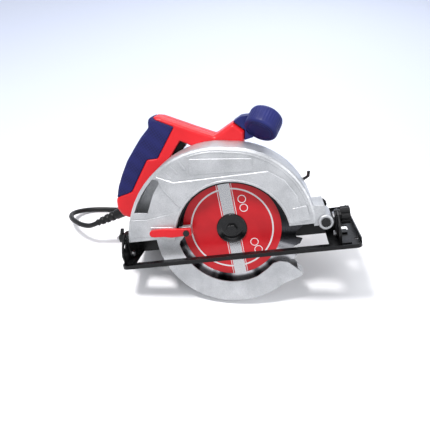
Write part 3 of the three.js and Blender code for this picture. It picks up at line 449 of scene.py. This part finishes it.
def lathe(profile, turn, segments=64, ripple=None):
    """A turned shape about the turn's own z axis. Each profile point is (radius, height)."""
    shape = bmesh.new()
    rings = []
    for radius, height in profile:
        if radius == 0:
            rings.append([shape.verts.new((0, 0, height))] * segments)
            continue
        ring = []
        for i in range(segments):
            angle = 2 * math.pi * i / segments
            reach = radius + (ripple(radius, height, angle) if ripple else 0)
            ring.append(shape.verts.new((reach * math.cos(angle), reach * math.sin(angle), height)))
        rings.append(ring)
    for lower, upper in zip(rings, rings[1:]):
        for i in range(segments):
            j = (i + 1) % segments
            corners = list(dict.fromkeys((lower[i], lower[j], upper[j], upper[i])))
            if len(corners) > 2:
                shape.faces.new(corners)
    shape.transform(turn)
    return shape


def facing(point, way):
    """The turn that carries a lathe's z axis along a way, from a point."""
    return Matrix.Translation(point) @ Vector(way).to_track_quat("Z", "Y").to_matrix().to_4x4()


def softened(node, name, finish, body, voxel, rounds):
    """A CAD node's shape with its moulded edges melted round, which then stands for the node."""
    mesh = NODES[node].data.copy()
    worker = bpy.data.objects.new(name + "_worker", mesh)
    bpy.context.scene.collection.objects.link(worker)
    remesh = worker.modifiers.new("remesh", "REMESH")
    remesh.mode = "VOXEL"
    remesh.voxel_size = voxel * MILLIMETRE
    smooth = worker.modifiers.new("smooth", "SMOOTH")
    smooth.factor = 0.5
    smooth.iterations = rounds
    bpy.context.view_layer.update()
    evaluated = worker.evaluated_get(bpy.context.evaluated_depsgraph_get())
    result = bpy.data.meshes.new_from_object(evaluated)
    bpy.data.objects.remove(worker)
    return place(name, result, finish, body, (node,), softness=60)


# ---------------------------------------------------------------- cord
def coil_points():
    """Spirals in along the floor, climbs a layer and spirals out again to where the plug leaves."""
    outer, pitch, bottom, climb = COIL["outer"], COIL["pitch"], COIL["bottom_turns"], COIL["climb"]
    inner = outer - pitch * (bottom + climb)
    top = (outer - inner) / pitch
    total = bottom + math.floor(top) + (PLUG_ANGLE + 90) / 360
    count = math.ceil(total * 18)
    points = []
    for i in range(1, count + 1):
        turn = total * i / count
        angle = math.radians(-90 + 360 * turn)
        climbed = min(max((turn - bottom) / climb, 0), 1)
        height = FLOOR_LINE + pitch * climbed * climbed * (3 - 2 * climbed)
        if turn < bottom + climb:
            radius = outer - pitch * turn
        else:
            radius = inner + pitch * (turn - bottom - climb)
        points.append((COIL["x"] + radius * math.cos(angle), COIL["y"] + radius * math.sin(angle), height))
    return points


def cord_points():
    """The route of the CAD cord, then the coil's turns and the way into the plug."""
    start = CORD_EXIT + CORD_WAY * RELIEF_LENGTH
    near_side = COIL["y"] - COIL["outer"]
    route = [
        CORD_EXIT, CORD_EXIT + CORD_WAY * RELIEF_LENGTH / 2, start, start + CORD_WAY * 0.008,
        (-0.217, -0.017, 0.0376), (-0.229, -0.0115, 0.034), (-0.241, -0.002, 0.0305), (-0.251, 0.009, 0.0265),
        (-0.258, 0.022, 0.0215), (-0.260, 0.035, 0.016), (-0.256, 0.046, 0.011), (-0.247, 0.055, 0.007),
        (-0.236, 0.060, 0.0048), (-0.224, near_side - 0.0003, FLOOR_LINE), (-0.208, near_side, FLOOR_LINE),
        (-0.190, near_side, FLOOR_LINE), (-0.168, near_side, FLOOR_LINE), (-0.148, near_side, FLOOR_LINE),
        (-0.138, near_side, FLOOR_LINE), (COIL["x"], near_side, FLOOR_LINE),
    ]
    turns = coil_points()
    leave = math.radians(PLUG_ANGLE)
    away = Vector((-math.sin(leave), math.cos(leave), 0))
    last = Vector((turns[-1][0], turns[-1][1], 0))
    tail = [last + away * 0.015 + Vector((0, 0, PLUG_RISE - 0.0008)),
            last + away * (PLUG_START + 0.004) + Vector((0, 0, PLUG_RISE))]
    return [Vector(point) for point in [*route, *turns, *tail]]


def make_cord():
    curve = bpy.data.curves.new("mains_cord", "CURVE")
    curve.dimensions = "3D"
    curve.bevel_depth = CORD_DIAMETER / 2
    curve.bevel_resolution = 3
    curve.resolution_u = 4
    curve.use_fill_caps = True
    points = cord_points()
    spline = curve.splines.new("BEZIER")
    spline.bezier_points.add(len(points) - 1)
    for knot, point in zip(spline.bezier_points, points):
        knot.co = point
        knot.handle_left_type = "AUTO"
        knot.handle_right_type = "AUTO"
    curve.materials.append(MATERIALS["cord_rubber"])
    cord = bpy.data.objects.new("mains_cord", curve)
    bpy.context.scene.collection.objects.link(cord)
    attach(cord, "head")
    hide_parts("power_cord", "cord_coil")


# ---------------------------------------------------------------- guards
def guard_reach(degrees):
    """How far the upper guard's outline is from the blade's axis in a direction."""
    return GUARD_RADIUS + max(degrees - 85, 0) / 95 * GUARD_SWELL


def rim_line(start, end, inset, steps):
    turns = [start + (end - start) * i / steps for i in range(steps + 1)]
    return [((guard_reach(turn) - inset) * math.cos(math.radians(turn)),
             (guard_reach(turn) - inset) * math.sin(math.radians(turn))) for turn in turns]


def make_guard_relief():
    """The stepped face of the casting: a field round the arch, a lip, a blank badge, steps and a ledge."""
    field = [(-84, 84), (-63, 74), (56, 74), (75, 60), (88, 39), (94, 3),
             *arc(ARCH_CENTRE, ARCH_RADIUS + 1.6, 8, 142, 44), (-66, 47), (-79, 66)]
    lip = [*arc(ARCH_CENTRE, ARCH_RADIUS + 0.4, 9, 176, 60),
           *arc(ARCH_CENTRE, ARCH_RADIUS + 3.4, 176, 9, 60)]
    badge = [(-40, 98.5), (-38.5, 100.5), (37.5, 92), (39, 90),
             (37.5, 77.5), (35.5, 76.2), (-40.5, 80.6), (-42, 82.5)]
    rear_step = [(-128, 30.5), (-106, 29), (-75, 33), (-62, 36),
                 *arc(ARCH_CENTRE, ARCH_RADIUS + 2, 150, 178, 8), (-100, 4), (-129, 6)]
    front_step = [(80, 23), (98, 25), (101, 6), (80, 5)]
    ledge = [(-103, 18.5), (-103, 15.5), (-74, 11.5), (-73.5, 15)]
    pieces = [
        ("guard_field", field, 2.0, 1.8),
        ("arch_lip", lip, 2.7, 0.8),
        ("blank_badge", badge, 0.9, 0.5),
        ("rear_step", rear_step, 1.1, 1.0),
        ("front_step", front_step, 2.5, 0.5),
        ("lever_ledge", ledge, 2.2, 0.7),
    ]
    for name, outline, height, softness in pieces:
        shape = prism(outline, GUARD_FACE - height, GUARD_FACE + 0.4)
        soften_edges(on_saw(name, shape, "cast_aluminium", "head"), softness)


def make_arch_shade_sheet():
    """A thin black sheet inside the arch, between the casting's edge and the blade, put there as painted
    shade.
    """
    outline = [*arc(ARCH_CENTRE, ARCH_RADIUS - 0.1, 10, 168, 72),
               *arc(ARCH_CENTRE, ARCH_RADIUS - 2.6, 168, 10, 72)]
    on_saw("arch_painted_shade", prism(outline, -12.6, -12.0), "black_plastic", "head")


def make_rim_ribs():
    """Short ribs across the rim beside the badge, and one long bead along it."""
    for i, middle in enumerate(RIM_RIB_ANGLES):
        outline = [*rim_line(middle - 0.8, middle + 0.8, 5, 1),
                   *rim_line(middle + 0.8, middle - 0.8, 20, 1)]
        shape = prism(outline, GUARD_FACE - 0.9, GUARD_FACE + 0.4)
        soften_edges(on_saw(f"rim_rib_{i + 1}", shape, "cast_aluminium", "head"), 0.4)
    bead = [*rim_line(8, 112, 5.2, 50), *rim_line(112, 8, 7.4, 50)]
    shape = prism(bead, GUARD_FACE - 0.8, GUARD_FACE + 0.4)
    soften_edges(on_saw("rim_bead", shape, "cast_aluminium", "head"), 0.5)


def make_boss_cap():
    turn = facing(Vector((BOSS[0], GUARD_FACE, BOSS[1])), (0, -1, 0))
    cap = [(0, 0.2), (9.5, 0.2), (9.5, 1.2), (8.6, 2.1), (6.6, 2.2), (6.2, 1.2), (0, 1.2)]
    on_saw("boss_washer", lathe(cap, turn, 48), "cast_aluminium", "head")


# ---------------------------------------------------------------- blade
def make_flange():
    """The pressed outer flange: a domed black washer with a rolled edge."""
    turn = facing(Vector((0, 0, 0)), (0, -1, 0))
    dome = [(0, 1.1), (FLANGE_RADIUS, 1.1), (FLANGE_RADIUS, 2.0), (19.4, 2.8), (18, 3.3),
            (15.6, 3.4), (13.4, 4.3), (11.4, 4.8), (9, 4.8), (0, 4.8)]
    on_saw("flange_dome", lathe(dome, turn, 72), "black_gloss", "blade_spindle",
           ("outer_flange",), softness=25)


def make_pictograms():
    """Plain ring signs printed on the blade on both sides of the band."""
    for i, (x, z) in enumerate(RING_SIGN_SPOTS):
        radius = 5.4
        outline = [(radius, 0), (radius, 0.08), (radius - 0.9, 0.08), (radius - 0.9, 0), (radius, 0)]
        turn = facing(Vector((x, BLADE_FACE - 0.02, z)), (0, -1, 0))
        on_saw(f"ring_sign_{i + 1}", lathe(outline, turn, 40), "white_print", "blade_spindle")


# ---------------------------------------------------------------- front knob
def knob_ripple(radius, height, angle):
    """Fine grip ribs down the knob's side."""
    side = max(0.0, 1 - abs(height - 15) / 11)
    edge = 1 if radius > KNOB_RADIUS - 2 else 0
    return -0.55 * edge * min(1, 2 * side) * (0.5 + 0.5 * math.cos(36 * angle))


def make_front_knob():
    turn = facing(KNOB_FACE, KNOB_WAY)
    reach = KNOB_RADIUS
    profile = [(0, 0.6), (13, 0.5), (15.6, 0.3), (16.2, 0.9), (16.8, 0.3), (19, 0), (21, 0.8),
               (reach - 0.4, 2.4), (reach, 4.5), (reach, 9), (reach, 14), (reach, 19),
               (reach - 0.2, 22.5), (reach - 1.4, 25.2), (18.4, 27.2), (14, KNOB_HEIGHT), (0, KNOB_HEIGHT)]
    on_saw("ribbed_knob", lathe(profile, turn, 216, knob_ripple), "navy_smooth", "head",
           ("front_knob",), softness=50)


# ---------------------------------------------------------------- motor
def make_motor_details():
    """Raised bands round the housing and the end cap's screws."""
    for i, y in enumerate(HOUSING_BANDS):
        turn = facing(Vector((MOTOR[0], y, MOTOR[1])), (0, 1, 0))
        band = [(MOTOR_RADIUS - 0.6, -1.6), (MOTOR_RADIUS + 0.5, -1.2), (MOTOR_RADIUS + 0.8, 0),
                (MOTOR_RADIUS + 0.5, 1.2), (MOTOR_RADIUS - 0.6, 1.6), (MOTOR_RADIUS - 0.6, -1.6)]
        on_saw(f"housing_band_{i + 1}", lathe(band, turn, 96), "red_plastic", "head")
    for i, degrees in enumerate(CAP_SCREWS["angles"]):
        angle = math.radians(degrees)
        point = Vector((MOTOR[0] + CAP_SCREWS["circle"] * math.cos(angle), CAP_SCREWS["y"],
                        MOTOR[1] + CAP_SCREWS["circle"] * math.sin(angle)))
        head = [(0, 0), (3.6, 0), (3.6, 0.9), (2.8, 1.6), (1.6, 1.7), (1.5, 0.7), (0, 0.7)]
        on_saw(f"cap_screw_{i + 1}", lathe(head, facing(point, (0, 1, 0)), 24), "black_gloss", "head")


# ---------------------------------------------------------------- stage
def make_floor():
    shape = bmesh.new()
    sides = ((-1, -1), (1, -1), (1, 1), (-1, 1))
    shape.faces.new([shape.verts.new((x * FLOOR_HALF, y * FLOOR_HALF, 0)) for x, y in sides])
    mesh = bpy.data.meshes.new("floor")
    shape.to_mesh(mesh)
    shape.free()
    mesh.materials.append(floor_paint())
    floor = bpy.data.objects.new("floor", mesh)
    bpy.context.scene.collection.objects.link(floor)


def make_light(name, place_m, target, size, power, colour):
    data = bpy.data.lights.new(name, "AREA")
    data.shape = "DISK"
    data.size = size
    data.energy = power
    data.color = colour
    light = bpy.data.objects.new(name, data)
    bpy.context.scene.collection.objects.link(light)
    way = Vector(place_m) - Vector(target)
    light.matrix_world = Matrix.Translation(place_m) @ way.to_track_quat("Z", "Y").to_matrix().to_4x4()


def make_lighting():
    world = bpy.data.worlds.new("studio")
    world.use_nodes = True
    background = world.node_tree.nodes["Background"]
    background.inputs["Color"].default_value = STUDIO_COLOUR
    background.inputs["Strength"].default_value = STUDIO_STRENGTH
    bpy.context.scene.world = world
    bpy.context.scene.view_settings.view_transform = "Standard"
    centre = (0, 0, 0.08)
    make_light("key", (-0.35, -0.25, 1.35), centre, 0.25, 17, (1.0, 0.98, 0.99))
    make_light("fill", (0.9, -0.9, 0.9), centre, 0.9, 6, (0.97, 0.98, 1.0))
    make_light("back", (0.2, 1.1, 1.0), centre, 0.8, 6, (0.97, 0.98, 1.0))


make_camera()
make_cord()
paint_cad_nodes()
make_guard_relief()
make_arch_shade_sheet()
make_rim_ribs()
make_boss_cap()
make_flange()
make_pictograms()
make_front_knob()
make_motor_details()
softened("handle_shell_near", "handle_near", "red_plastic", "head", 1.3, 6)
softened("handle_shell_far", "handle_far", "red_plastic", "head", 1.3, 6)
softened("grip_cover", "soft_grip", "navy_rubber", "head", 1.3, 6)
softened("guard_lever", "soft_lever", "red_plastic", "lower_guard_body", 0.7, 4)
make_floor()
make_lighting()
